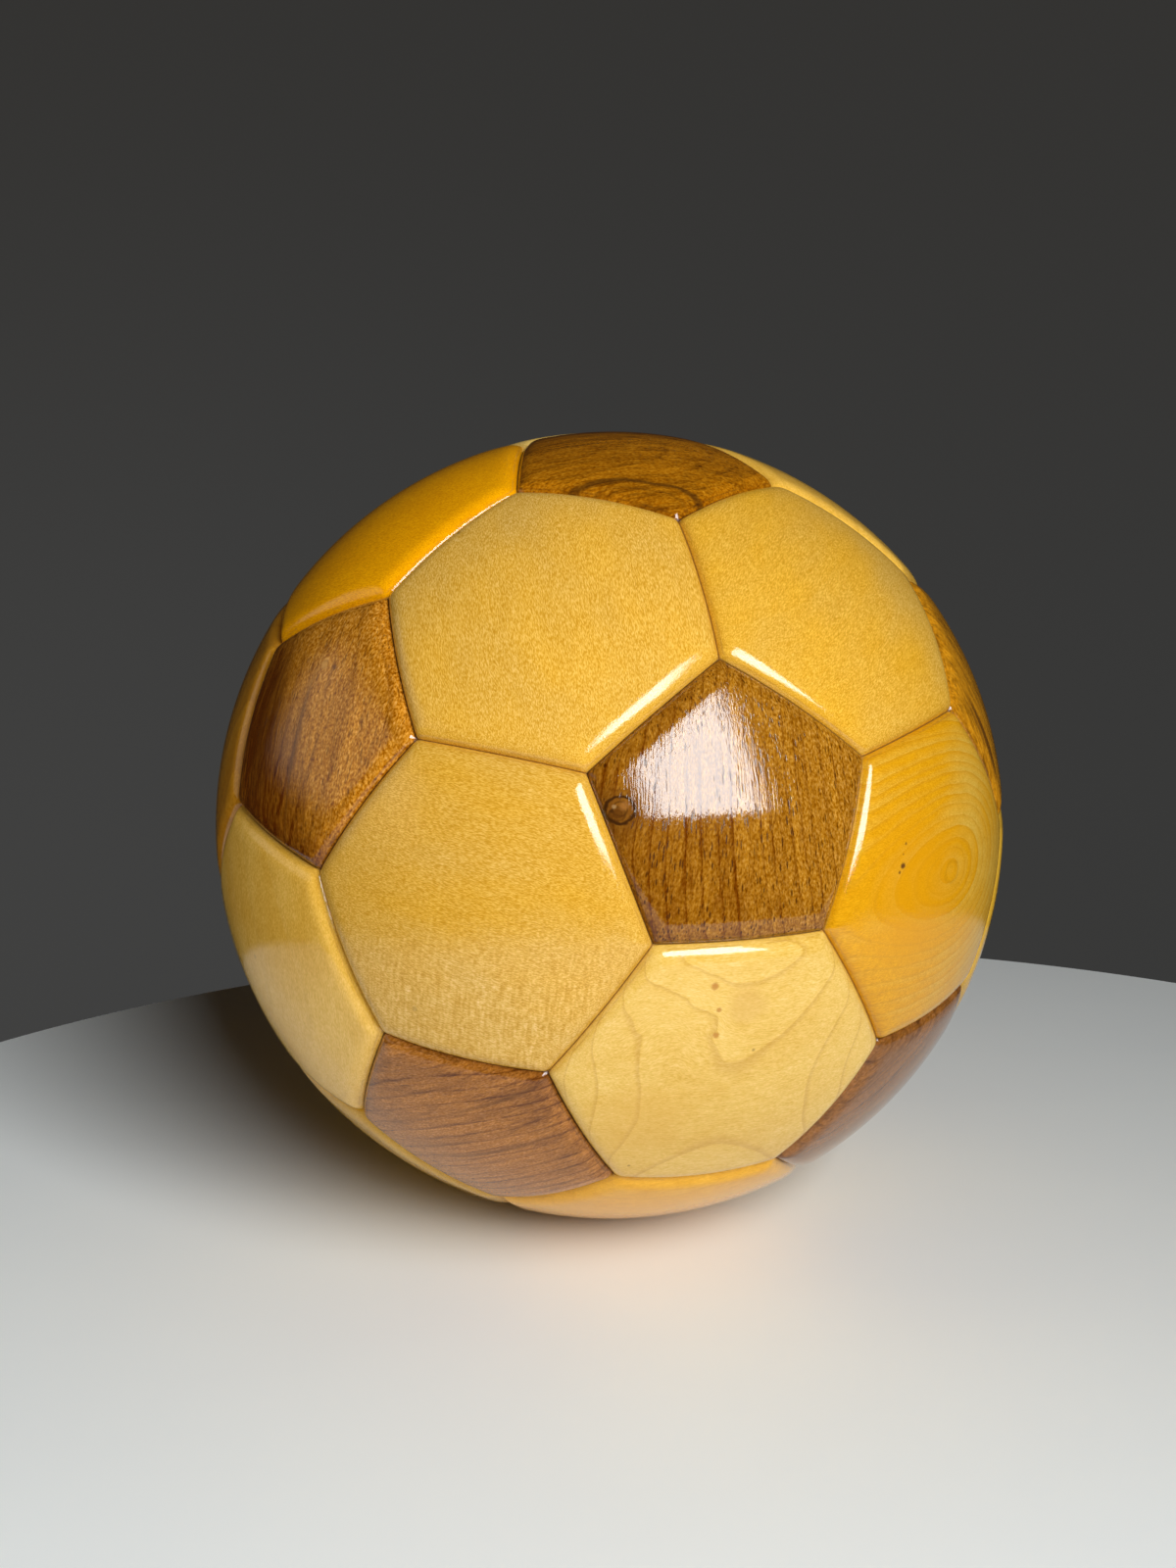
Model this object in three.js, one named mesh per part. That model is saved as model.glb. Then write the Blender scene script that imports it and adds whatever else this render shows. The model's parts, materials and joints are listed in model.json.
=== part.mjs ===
// A wooden football: 12 walnut pentagons and 20 maple hexagons, each a solid board with
// mitred joint faces, glued edge to edge into a hollow ball. The boards are turned and
// sanded to one sphere, and each panel's edges are rolled over, so every joint lies at the
// bottom of a shallow groove.
// Units are millimetres, +Z is up and the origin is the middle of the ball.
import * as THREE from 'three';
import { ConvexGeometry } from 'three/addons/geometries/ConvexGeometry.js';

// Driving dimensions
const BALL_DIAMETER = 220; // across the crowns of two opposite panels
const BOARD_THICKNESS = 22; // a hexagon at its middle, from its flat back to its crown
const EDGE_ROLL_WIDTH = 6.7; // from the joint in to where the rolled edge meets the crown
const GROOVE_DEPTH = 2; // of the joint below the crowns on both sides of it
const GLUE_LINE = 0.3; // between the joint faces of two boards

// How the ball lies: its pole is the middle of the top pentagon
const POLE_SPIN = -1.7; // degrees, of the ball about its pole
const LEAN_SIDEWAYS = 3.6; // degrees, of the pole towards +X
const LEAN_FORWARDS = 10.3; // degrees, of the pole towards -Y

// Fineness of the facets
const SIDE_STEPS = 6; // along a panel's side
const ROLL_STEPS = 4; // across its rolled edge
const CROWN_STEPS = 3; // from the rolled edge in to the middle of its crown

// Finishes: oiled and lacquered hardwood, no two boards quite alike
const WALNUT = '#84521f';
const MAPLE = '#dcb35c';
const GLOSS_ROUGHNESS = 0.22;
const BOARD_SHADES = [0, -0.025, 0.02, -0.012, 0.03]; // lighter or darker, board by board

// The ball is an icosahedron with its corners cut off at a third of each edge, which
// leaves a pentagon at each corner and a hexagon on each face, all of one side length.
const GOLDEN_RATIO = (1 + Math.sqrt(5)) / 2;
const SIDES_OF_CORNER_RADIUS = Math.sqrt(9 * GOLDEN_RATIO + 10) / 2;
const CROWN_RADIUS = BALL_DIAMETER / 2;
const CORNER_RADIUS = CROWN_RADIUS - GROOVE_DEPTH;

// A rolled edge is an arc that leaves the crown smoothly and ends at the joint
const EDGE_ROLL_RADIUS = (EDGE_ROLL_WIDTH ** 2 + GROOVE_DEPTH ** 2) / (2 * GROOVE_DEPTH);
const EDGE_ROLL_ANGLE = Math.asin(EDGE_ROLL_WIDTH / EDGE_ROLL_RADIUS);

// The regular polygon of so many sides whose corners lie at a given radius from the
// middle of the ball: how far out its flat lies, and how far its mitres lean from its axis.
function flatPanel(sides, cornerRadius) {
  const side = cornerRadius / SIDES_OF_CORNER_RADIUS;
  const height = Math.sqrt(cornerRadius ** 2 - (side / (2 * Math.sin(Math.PI / sides))) ** 2);
  const inradius = side / (2 * Math.tan(Math.PI / sides));
  return { height, mitre: Math.atan2(inradius, height) };
}

// The hollow's corners: a hexagon's back lies one board thickness in from its crown
const hexagonFlat = flatPanel(6, CORNER_RADIUS);
const HOLLOW_CORNER_RADIUS =
  (CROWN_RADIUS - BOARD_THICKNESS) * (CORNER_RADIUS / hexagonFlat.height);

// A row of points along the side that faces +X, on a sphere of the given radius and at an
// equal distance from that side's mitre plane, from corner to corner. The last point is
// left to the next side.
function rowAlongSide(sides, mitre, radius, fromMitre, steps) {
  const reach = Math.sqrt(radius ** 2 - fromMitre ** 2);
  const slant = Math.tan(Math.PI / sides);
  const skew = slant * Math.sin(mitre);
  const inset = (fromMitre * Math.cos(mitre) * slant) / reach;
  const corner = Math.atan(skew) - Math.asin(inset / Math.hypot(1, skew));
  const row = [];
  for (let step = 0; step < steps; step += 1) {
    const turn = corner * ((2 * step) / steps - 1);
    const out = reach * Math.cos(turn);
    row.push(new THREE.Vector3(
      out * Math.sin(mitre) - fromMitre * Math.cos(mitre),
      reach * Math.sin(turn),
      out * Math.cos(mitre) + fromMitre * Math.sin(mitre),
    ));
  }
  return row;
}

// One panel, lying on +Z with the middle of a side towards +X. It is convex, so its skin
// is the hull of its crown, its rolled edges and the corners of its flat back.
function panelGeometry(sides) {
  const { mitre } = flatPanel(sides, CORNER_RADIUS);
  const back = flatPanel(sides, HOLLOW_CORNER_RADIUS).height;
  const halfGlue = GLUE_LINE / 2;
  const rows = [];

  // the rolled edge, from the joint face up to the crown
  for (let step = 0; step <= ROLL_STEPS; step += 1) {
    const angle = EDGE_ROLL_ANGLE * (1 - step / ROLL_STEPS);
    const radius = CROWN_RADIUS - EDGE_ROLL_RADIUS * (1 - Math.cos(angle));
    const fromJoint = EDGE_ROLL_WIDTH - EDGE_ROLL_RADIUS * Math.sin(angle);
    rows.push(rowAlongSide(sides, mitre, radius, halfGlue + fromJoint, SIDE_STEPS));
  }

  // the crown, in rows that shorten towards the middle of the panel
  const rollEnd = halfGlue + EDGE_ROLL_WIDTH;
  const middle = CROWN_RADIUS * Math.sin(mitre);
  for (let step = 1; step < CROWN_STEPS; step += 1) {
    const inward = step / CROWN_STEPS;
    const fromMitre = rollEnd + (middle - rollEnd) * inward;
    const steps = Math.max(1, Math.round(SIDE_STEPS * (1 - inward)));
    rows.push(rowAlongSide(sides, mitre, CROWN_RADIUS, fromMitre, steps));
  }

  // the corners of the back, where two mitres and the flat meet
  const backInradius = back * Math.tan(mitre) - halfGlue / Math.cos(mitre);
  const backCorner = -backInradius * Math.tan(Math.PI / sides);
  rows.push([new THREE.Vector3(backInradius, backCorner, back)]);

  const points = [new THREE.Vector3(0, 0, CROWN_RADIUS)];
  const upAxis = new THREE.Vector3(0, 0, 1);
  for (let side = 0; side < sides; side += 1) {
    const turn = (side * 2 * Math.PI) / sides;
    for (const point of rows.flat()) {
      points.push(point.clone().applyAxisAngle(upAxis, turn));
    }
  }
  return new ConvexGeometry(points);
}

const pentagonGeometry = panelGeometry(5);
const hexagonGeometry = panelGeometry(6);
const football = new THREE.Group();
football.rotation.set(
  THREE.MathUtils.degToRad(LEAN_FORWARDS),
  THREE.MathUtils.degToRad(LEAN_SIDEWAYS),
  THREE.MathUtils.degToRad(POLE_SPIN),
);

// Glues one board into the ball: its axis points out of the ball, and the middle of one of
// its sides faces the neighbour given.
function addPanel(name, geometry, wood, axis, neighbour) {
  const shade = BOARD_SHADES[football.children.length % BOARD_SHADES.length];
  const material = new THREE.MeshStandardMaterial({
    color: new THREE.Color(wood).offsetHSL(0, 0, shade),
    roughness: GLOSS_ROUGHNESS,
    metalness: 0,
  });
  const panel = new THREE.Mesh(geometry, material);
  const z = axis.clone().normalize();
  const x = neighbour.clone().projectOnPlane(z).normalize();
  const y = z.clone().cross(x);
  panel.quaternion.setFromRotationMatrix(new THREE.Matrix4().makeBasis(x, y, z));
  panel.name = name;
  football.add(panel);
}

// The 12 corners of the icosahedron: the poles, and a ring of five towards each of them
const top = new THREE.Vector3(0, 0, 1);
const bottom = new THREE.Vector3(0, 0, -1);
const RING_LATITUDE = Math.atan(1 / 2);
function ringCorner(latitude, fifths) {
  const corner = new THREE.Vector3(Math.cos(latitude), 0, Math.sin(latitude));
  return corner.applyAxisAngle(top, (fifths * 2 * Math.PI) / 5);
}
const upper = [0, 1, 2, 3, 4].map((n) => ringCorner(RING_LATITUDE, n));
const lower = [0, 1, 2, 3, 4].map((n) => ringCorner(-RING_LATITUDE, n + 0.5));

function addPentagon(name, corner, nextCorner, thirdCorner) {
  const hexagonBeside = corner.clone().add(nextCorner).add(thirdCorner);
  addPanel(name, pentagonGeometry, WALNUT, corner, hexagonBeside);
}

function addHexagon(name, corners) {
  const axis = corners[0].clone().add(corners[1]).add(corners[2]);
  addPanel(name, hexagonGeometry, MAPLE, axis, corners[0]);
}

addPentagon('pentagon_top', top, upper[0], upper[1]);
for (let n = 0; n < 5; n += 1) {
  const next = (n + 1) % 5;
  addPentagon(`pentagon_upper_${n + 1}`, upper[n], upper[next], top);
  addPentagon(`pentagon_lower_${n + 1}`, lower[n], lower[next], bottom);
  addHexagon(`hexagon_top_${n + 1}`, [top, upper[n], upper[next]]);
  addHexagon(`hexagon_upper_${n + 1}`, [lower[n], upper[n], upper[next]]);
  addHexagon(`hexagon_lower_${n + 1}`, [upper[next], lower[n], lower[next]]);
  addHexagon(`hexagon_bottom_${n + 1}`, [bottom, lower[n], lower[next]]);
}
addPentagon('pentagon_bottom', bottom, lower[0], lower[1]);

export default football;
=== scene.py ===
import json
import math
import random

import bpy
import numpy as np
from mathutils import Matrix, Vector

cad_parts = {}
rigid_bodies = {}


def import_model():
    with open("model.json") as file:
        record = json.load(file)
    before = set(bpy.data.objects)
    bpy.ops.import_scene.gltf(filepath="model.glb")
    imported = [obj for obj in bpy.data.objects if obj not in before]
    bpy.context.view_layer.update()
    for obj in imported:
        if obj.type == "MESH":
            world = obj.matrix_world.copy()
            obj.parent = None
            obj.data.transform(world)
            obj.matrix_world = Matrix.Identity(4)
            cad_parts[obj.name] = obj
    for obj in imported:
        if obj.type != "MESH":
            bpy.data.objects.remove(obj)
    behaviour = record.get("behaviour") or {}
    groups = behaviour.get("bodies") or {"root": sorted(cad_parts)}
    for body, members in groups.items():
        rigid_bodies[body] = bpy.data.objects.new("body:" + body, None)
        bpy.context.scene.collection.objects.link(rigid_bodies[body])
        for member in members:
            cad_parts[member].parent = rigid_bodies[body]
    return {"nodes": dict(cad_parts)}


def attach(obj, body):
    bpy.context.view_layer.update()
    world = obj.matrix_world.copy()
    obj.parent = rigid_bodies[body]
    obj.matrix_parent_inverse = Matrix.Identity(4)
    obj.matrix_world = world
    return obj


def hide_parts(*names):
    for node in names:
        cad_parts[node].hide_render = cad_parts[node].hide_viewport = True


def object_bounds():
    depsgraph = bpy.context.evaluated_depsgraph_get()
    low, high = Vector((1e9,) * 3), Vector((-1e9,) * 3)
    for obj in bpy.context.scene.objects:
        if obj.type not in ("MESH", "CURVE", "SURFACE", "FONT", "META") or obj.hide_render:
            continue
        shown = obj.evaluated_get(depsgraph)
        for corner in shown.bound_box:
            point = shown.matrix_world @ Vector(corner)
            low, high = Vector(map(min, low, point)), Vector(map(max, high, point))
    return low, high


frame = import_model()
cad_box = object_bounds()

# ==== The walnut pentagons ====================================================
# Twelve five-sided boards of solid walnut. Their sides are mitred and glued to the hexagons
# round them, their faces are turned and sanded to one sphere, and their edges are rolled
# over by hand, so that each joint lies in a shallow groove. All is lacquered to a gloss.

PENTAGON_SIDES = 5
ROLL_WIDTH = 0.0064  # of the rolled edge, in from the joint
CORNER_EASING = 0.0014  # over which two rolled edges run into each other
ARRIS_WIDTH = 0.0012  # of the tighter rounding where the rolled edge dips into the joint
ARRIS_SLOPE = 0.7  # that this rounding adds to the rolled edge at the joint
GLUE_LINE = 0.00006  # between the joint faces of two boards
FACE_ROWS = 34  # rows of faces from the middle of a board to its joint
FACE_COLUMNS = 40  # faces along one side of a board
ROW_CROWDING = 1.6  # how much closer the rows lie towards the joint
WELD_DISTANCE = 0.000001  # under which the points of two sides become one


def feed(socket, value):
    """Wires a value into a node's input, or sets the input to it."""
    if isinstance(value, Wire):
        value.tree.links.new(value.socket, socket)
    else:
        socket.default_value = value


def calculate(operation, *values):
    """One step of arithmetic on wires and plain numbers."""
    tree = next(value.tree for value in values if isinstance(value, Wire))
    node = tree.nodes.new("ShaderNodeMath")
    node.operation = operation
    for socket, value in zip(node.inputs, values):
        feed(socket, value)
    return Wire(tree, node.outputs[0])


class Wire:
    """What one wire of a node tree carries, so that a rule for a surface reads as a formula."""

    def __init__(self, tree, socket):
        self.tree = tree
        self.socket = socket

    def __add__(self, other):
        return calculate("ADD", self, other)

    def __radd__(self, other):
        return calculate("ADD", other, self)

    def __sub__(self, other):
        return calculate("SUBTRACT", self, other)

    def __rsub__(self, other):
        return calculate("SUBTRACT", other, self)

    def __mul__(self, other):
        return calculate("MULTIPLY", self, other)

    def __truediv__(self, other):
        return calculate("DIVIDE", self, other)

    def __pow__(self, other):
        return calculate("POWER", self, other)

    def do(self, operation, *others):
        return calculate(operation, self, *others)


def add_node(tree, kind, inputs, **settings):
    """Adds a node, fed by the names of its inputs, and returns its outputs by name."""
    node = tree.nodes.new(kind)
    for name, value in settings.items():
        setattr(node, name, value)
    for name, value in inputs.items():
        feed(next(s for s in node.inputs if s.name == name and s.enabled), value)
    return {s.name: Wire(tree, s) for s in node.outputs if s.enabled}


def start_group(kind, name, takes, gives):
    """An empty node group: its tree, its inputs as wires by name, and its output node."""
    tree = bpy.data.node_groups.new(name, kind)
    for label, (form, usual) in takes.items():
        socket = tree.interface.new_socket(
            label, in_out="INPUT", socket_type="NodeSocket" + form
        )
        if usual is not None:
            socket.default_value = usual
    for label, form in gives.items():
        tree.interface.new_socket(
            label, in_out="OUTPUT", socket_type="NodeSocket" + form
        )
    entry = tree.nodes.new("NodeGroupInput")
    wires = {s.name: Wire(tree, s) for s in entry.outputs if s.name}
    return tree, wires, tree.nodes.new("NodeGroupOutput")


def parts_of(vector):
    """The three numbers of a vector."""
    split = add_node(vector.tree, "ShaderNodeSeparateXYZ", {"Vector": vector})
    return split["X"], split["Y"], split["Z"]


def vector_of(tree, x, y, z):
    """A vector of three numbers."""
    joined = add_node(tree, "ShaderNodeCombineXYZ", {"X": x, "Y": y, "Z": z})
    return joined["Vector"]


def build_board_tree():
    """The rule for a mitred board: one of its sides is laid out and repeated all round."""
    tree, size, result = start_group(
        "GeometryNodeTree",
        "mitred board",
        {
            "Sides": ("Int", PENTAGON_SIDES),
            "Mitre Angle": ("Float", 0.3),
            "Crown Radius": ("Float", 0.1),
            "Groove Depth": ("Float", 0.002),
            "Back Height": ("Float", 0.08),
            "Roll Width": ("Float", ROLL_WIDTH),
            "Corner Easing": ("Float", CORNER_EASING),
            "Arris Width": ("Float", ARRIS_WIDTH),
            "Arris Slope": ("Float", ARRIS_SLOPE),
            "Glue Line": ("Float", GLUE_LINE),
            "Rows": ("Int", FACE_ROWS),
            "Columns": ("Int", FACE_COLUMNS),
            "Finish": ("Material", None),
        },
        {"Board": "Geometry"},
    )
    mitre = size["Mitre Angle"]
    crown = size["Crown Radius"]
    half_glue = size["Glue Line"] / 2
    half_side = calculate("DIVIDE", math.pi, size["Sides"])
    side_slope = half_side.do("TANGENT")

    # a flat sheet of rows: the face, then the foot of the mitred side, then the flat back
    sheet = add_node(
        tree,
        "GeometryNodeMeshGrid",
        {
            "Size X": 1.0,
            "Size Y": 2.0,
            "Vertices X": size["Rows"] + 3,
            "Vertices Y": size["Columns"] + 1,
        },
    )["Mesh"]
    position = add_node(tree, "GeometryNodeInputPosition", {})["Position"]
    down_sheet, along, _ = parts_of(position)
    row = (down_sheet + 0.5) * (size["Rows"] + 2)

    # the direction of each point of the face from the middle of the ball
    outward = (row / size["Rows"]).do("MINIMUM", 1.0)
    edge_tilt = mitre - (half_glue / crown).do("ARCSINE")
    tilt = edge_tilt * (1 - (1 - outward) ** ROW_CROWDING)
    swing = along * (tilt.do("SINE") * side_slope).do("ARCTANGENT")
    x = tilt.do("SINE") * swing.do("COSINE")
    y = swing.do("SINE")
    z = tilt.do("COSINE") * swing.do("COSINE")

    # how far it lies from its own joint, or from the next one near a corner
    next_x = x * (half_side * 2).do("COSINE") + y.do("ABSOLUTE") * (half_side * 2).do("SINE")
    from_own = (z * mitre.do("SINE") - x * mitre.do("COSINE")) * crown
    from_next = (z * mitre.do("SINE") - next_x * mitre.do("COSINE")) * crown
    from_joint = from_own.do("SMOOTH_MIN", from_next, size["Corner Easing"]) - half_glue

    # the rolled edge leaves the crown smoothly and is steepest at the joint
    into_roll = (1 - from_joint / size["Roll Width"]).do("MAXIMUM", 0.0)
    drop = size["Groove Depth"] * into_roll**3
    into_arris = (size["Arris Width"] - from_joint).do("MAXIMUM", 0.0)
    nick = into_arris * into_arris * size["Arris Slope"] / (size["Arris Width"] * 2)
    reach = crown - drop - nick
    face_point = vector_of(tree, x * reach, y * reach, z * reach)

    # the back is flat, and its corners lie where the mitres meet it
    back = size["Back Height"]
    back_reach = back * mitre.do("TANGENT") - half_glue / mitre.do("COSINE")
    back_x = back_reach * (size["Rows"] + 2 - row)
    back_point = vector_of(tree, back_x, back_x * along * side_slope, back)
    on_back = row.do("GREATER_THAN", size["Rows"] + 0.5)
    place = add_node(
        tree,
        "ShaderNodeMix",
        {"Factor": on_back, "A": face_point, "B": back_point},
        data_type="VECTOR",
    )["Result"]

    on_face = row.do("LESS_THAN", size["Rows"] + 0.0)
    shaded = add_node(
        tree, "GeometryNodeSetShadeSmooth", {"Geometry": sheet, "Shade Smooth": on_face}
    )["Geometry"]
    marked = add_node(
        tree,
        "GeometryNodeStoreNamedAttribute",
        {"Geometry": shaded, "Name": "from_joint", "Value": from_joint},
    )["Geometry"]
    side = add_node(
        tree, "GeometryNodeSetPosition", {"Geometry": marked, "Position": place}
    )["Geometry"]

    # the side is repeated all round the board's axis, and the sides are welded together
    corners = add_node(
        tree, "GeometryNodeMeshLine", {"Count": size["Sides"], "Offset": (0, 0, 0)}
    )["Mesh"]
    index = add_node(tree, "GeometryNodeInputIndex", {})["Index"]
    turn = vector_of(tree, 0.0, 0.0, index * half_side * 2)
    sides = add_node(
        tree,
        "GeometryNodeInstanceOnPoints",
        {"Points": corners, "Instance": side, "Rotation": turn},
    )["Instances"]
    loose = add_node(tree, "GeometryNodeRealizeInstances", {"Geometry": sides})["Geometry"]
    whole = add_node(
        tree, "GeometryNodeMergeByDistance", {"Geometry": loose, "Distance": WELD_DISTANCE}
    )["Geometry"]
    board = add_node(
        tree, "GeometryNodeSetMaterial", {"Geometry": whole, "Material": size["Finish"]}
    )["Geometry"]
    feed(result.inputs["Board"], board)
    return tree


board_tree = build_board_tree()


def mitre_angle(sides):
    """How far the middle of a side leans from the board's axis: the joint faces of pentagons
    and hexagons of one side length meet where this angle is the mitre."""
    golden_ratio = (1 + math.sqrt(5)) / 2
    sides_of_corner_radius = math.sqrt(9 * golden_ratio + 10) / 2
    corner = 1 / (2 * math.sin(math.pi / sides) * sides_of_corner_radius)
    middle = 1 / (2 * math.tan(math.pi / sides) * sides_of_corner_radius)
    return math.atan2(middle, math.sqrt(1 - corner**2))


BACK_TOLERANCE = 1.01  # of the back corners' distance from the middle of the ball
FACE_SHARE = 0.95  # of the ball's radius, past which a point lies on the outer face


def measure_board(node):
    """A board's sizes, its axis and the way to one of its corners, from its plain solid."""
    points = np.array([v.co for v in frame["nodes"][node].data.vertices])
    reach = np.linalg.norm(points, axis=1)
    on_back = points[reach < reach.min() * BACK_TOLERANCE]
    axis = Vector(np.linalg.svd(on_back - on_back.mean(0))[2][2])
    if axis.dot(Vector(on_back[0])) < 0:
        axis = -axis
    back_height = axis.dot(Vector(on_back[0]))
    corner = (Vector(on_back[0]) - axis * back_height).normalized()
    sizes = {
        "Crown Radius": float(reach.max()),
        "Groove Depth": float(reach.max() - reach[reach > reach.max() * FACE_SHARE].min()),
        "Back Height": back_height,
    }
    return sizes, axis, corner


def make_board(node, sides, finish):
    """Builds one board from the rule, sets it in the ball and gives it to the frame."""
    sizes, axis, corner = measure_board(node)
    middle_of_side = Matrix.Rotation(math.pi / sides, 3, axis) @ corner
    turn = Matrix((middle_of_side, axis.cross(middle_of_side), axis)).transposed()
    sizes.update({"Sides": sides, "Mitre Angle": mitre_angle(sides), "Finish": finish})
    board = bpy.data.objects.new(node + "_board", bpy.data.meshes.new(node + "_board"))
    bpy.context.scene.collection.objects.link(board)
    rule = board.modifiers.new("mitred board", "NODES")
    rule.node_group = board_tree
    for socket in board_tree.interface.items_tree:
        if socket.in_out == "INPUT" and socket.name in sizes:
            rule[socket.identifier] = sizes[socket.name]
    built = board.evaluated_get(bpy.context.evaluated_depsgraph_get())
    mesh = bpy.data.meshes.new_from_object(built)
    board.modifiers.remove(rule)
    mesh.transform(turn.to_4x4())
    board.data = mesh
    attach(board, "root")
    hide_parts(node)


def rise(value, low, high):
    """0 below low, 1 above high, and an eased slope between them."""
    return add_node(
        value.tree,
        "ShaderNodeMapRange",
        {"Value": value, "From Min": low, "From Max": high},
        interpolation_type="SMOOTHSTEP",
    )["Result"]


def pattern(place, across, along, out):
    """A place in the wood, scaled so that a pattern repeats at those sizes in millimetres."""
    node = place.tree.nodes.new("ShaderNodeVectorMath")
    node.operation = "MULTIPLY"
    feed(node.inputs[0], place)
    node.inputs[1].default_value = (1 / across, 1 / along, 1 / out)
    return Wire(place.tree, node.outputs[0])


def noise(place, detail=1.0, roughness=0.5, output="Fac"):
    """Soft noise with one swell to each unit of the place."""
    return add_node(
        place.tree,
        "ShaderNodeTexNoise",
        {"Vector": place, "Scale": 1.0, "Detail": detail, "Roughness": roughness},
    )[output]


def blend(factor, one, other):
    """A colour between two others."""
    return add_node(
        factor.tree,
        "ShaderNodeMix",
        {"Factor": factor, "A": one, "B": other},
        data_type="RGBA",
    )["Result"]


def dim(colour, factor):
    """A wood's colour, darker where factor is less than 1. It reddens as it darkens."""
    tint = vector_of(factor.tree, factor, factor**1.5, factor**4.5)
    node = factor.tree.nodes.new("ShaderNodeVectorMath")
    node.operation = "MULTIPLY"
    feed(node.inputs[0], colour)
    feed(node.inputs[1], tint)
    return Wire(factor.tree, node.outputs[0])


def build_grown_wood():
    """How a tree grows: rings round its heart, which wander a little and are not even."""
    tree, wood, result = start_group(
        "ShaderNodeTree",
        "grown wood",
        {
            "Place": ("Vector", None),
            "Heart": ("Vector", None),
            "Ring Pitch": ("Float", 2.5),
            "Line Width": ("Float", 0.3),
            "Unevenness": ("Float", 0.8),
            "Wander": ("Float", 1.0),
            "Fan": ("Float", 0.0),
        },
        {"Place": "Vector", "Ring": "Float", "Line": "Float", "Tone": "Float"},
    )
    across, along, out = parts_of(wood["Place"])

    # the trunk swells and leans over some centimetres, and wobbles over a few millimetres
    swell = noise(pattern(wood["Place"], 20, 42, 20), 2.0, 0.5, "Color")
    swell_x, _, swell_z = parts_of(swell)
    wobble = noise(pattern(wood["Place"], 4, 6, 4), 1.0) - 0.5
    swell_x = swell_x + wobble * 0.4
    x = across * (1 + along * wood["Fan"]) + (swell_x - 0.5) * wood["Wander"] * 2
    z = out + (swell_z - 0.5) * wood["Wander"] * 2

    # the years from the heart outwards, of which some are wider than others
    heart_x, _, heart_z = parts_of(wood["Heart"])
    to_x = x - heart_x
    to_z = z - heart_z
    years = (to_x * to_x + to_z * to_z).do("SQRT") / wood["Ring Pitch"]
    uneven = add_node(
        tree, "ShaderNodeTexNoise", {"W": years, "Scale": 0.6}, noise_dimensions="1D"
    )["Fac"]
    years = years + (uneven - 0.5) * wood["Unevenness"]

    # each year ends in a line, and has a tone of its own
    ring = years.do("FRACT")
    width = wood["Line Width"]
    line = rise(ring, 1 - width, 1 - width * 0.2) * (1 - rise(ring, 1 - width * 0.15, 1.0))
    tone = add_node(
        tree, "ShaderNodeTexWhiteNoise", {"W": years.do("FLOOR")}, noise_dimensions="1D"
    )["Value"]
    feed(result.inputs["Place"], vector_of(tree, x, along, z))
    feed(result.inputs["Ring"], ring)
    feed(result.inputs["Line"], line)
    feed(result.inputs["Tone"], tone)
    return tree


grown_wood = build_grown_wood()


def build_pin_knot():
    """A small knot or speck: a core in a thin rim, with the grain flowing round it."""
    tree, knot, result = start_group(
        "ShaderNodeTree",
        "pin knot",
        {
            "Place": ("Vector", None),
            "Grain": ("Vector", None),
            "Centre": ("Vector", None),
            "Radius": ("Float", 1.0),
            "Stretch": ("Float", 1.0),
            "Bend": ("Float", 1.0),
            "Pull": ("Float", 0.0),
            "Rim Width": ("Float", 1.0),
        },
        {"Grain": "Vector", "Core": "Float", "Rim": "Float"},
    )
    x, y, _ = parts_of(knot["Place"])
    centre_x, centre_y, _ = parts_of(knot["Centre"])

    # how far from its centre a place lies, in radii, with a ragged outline
    from_x = (x - centre_x) / knot["Radius"]
    from_y = (y - centre_y) / (knot["Radius"] * knot["Stretch"])
    ragged = noise(vector_of(tree, from_x * 1.3, from_y * 1.3, centre_x), 3.0)
    distance = (from_x * from_x + from_y * from_y).do("SQRT") + (ragged - 0.5) * 0.5

    # the grain bends outwards round it, or is pulled to one side
    push = from_x * knot["Radius"] * knot["Bend"] / (distance * distance + 1.2)
    push = push - knot["Pull"] * (1 - rise(distance, 0.0, 1.5))
    grain_x, grain_y, grain_z = parts_of(knot["Grain"])

    # its core, a thin ring in the core and the bark round it
    core = 1 - rise(distance, 0.4, 1.15)
    inner = rise(distance, 0.4, 0.5) * (1 - rise(distance, 0.52, 0.62))
    into_bark = (distance - 1) / knot["Rim Width"]
    bark = rise(into_bark, -0.3, -0.1) * (1 - rise(into_bark, 0.0, 0.2))
    rim = bark * (1.2 - ragged * 0.8) + inner * 0.45
    feed(result.inputs["Grain"], vector_of(tree, grain_x - push, grain_y, grain_z))
    feed(result.inputs["Core"], core)
    feed(result.inputs["Rim"], rim)
    return tree


pin_knot = build_pin_knot()


METRE = 1000  # in millimetres, which the patterns of the wood are given in


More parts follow.
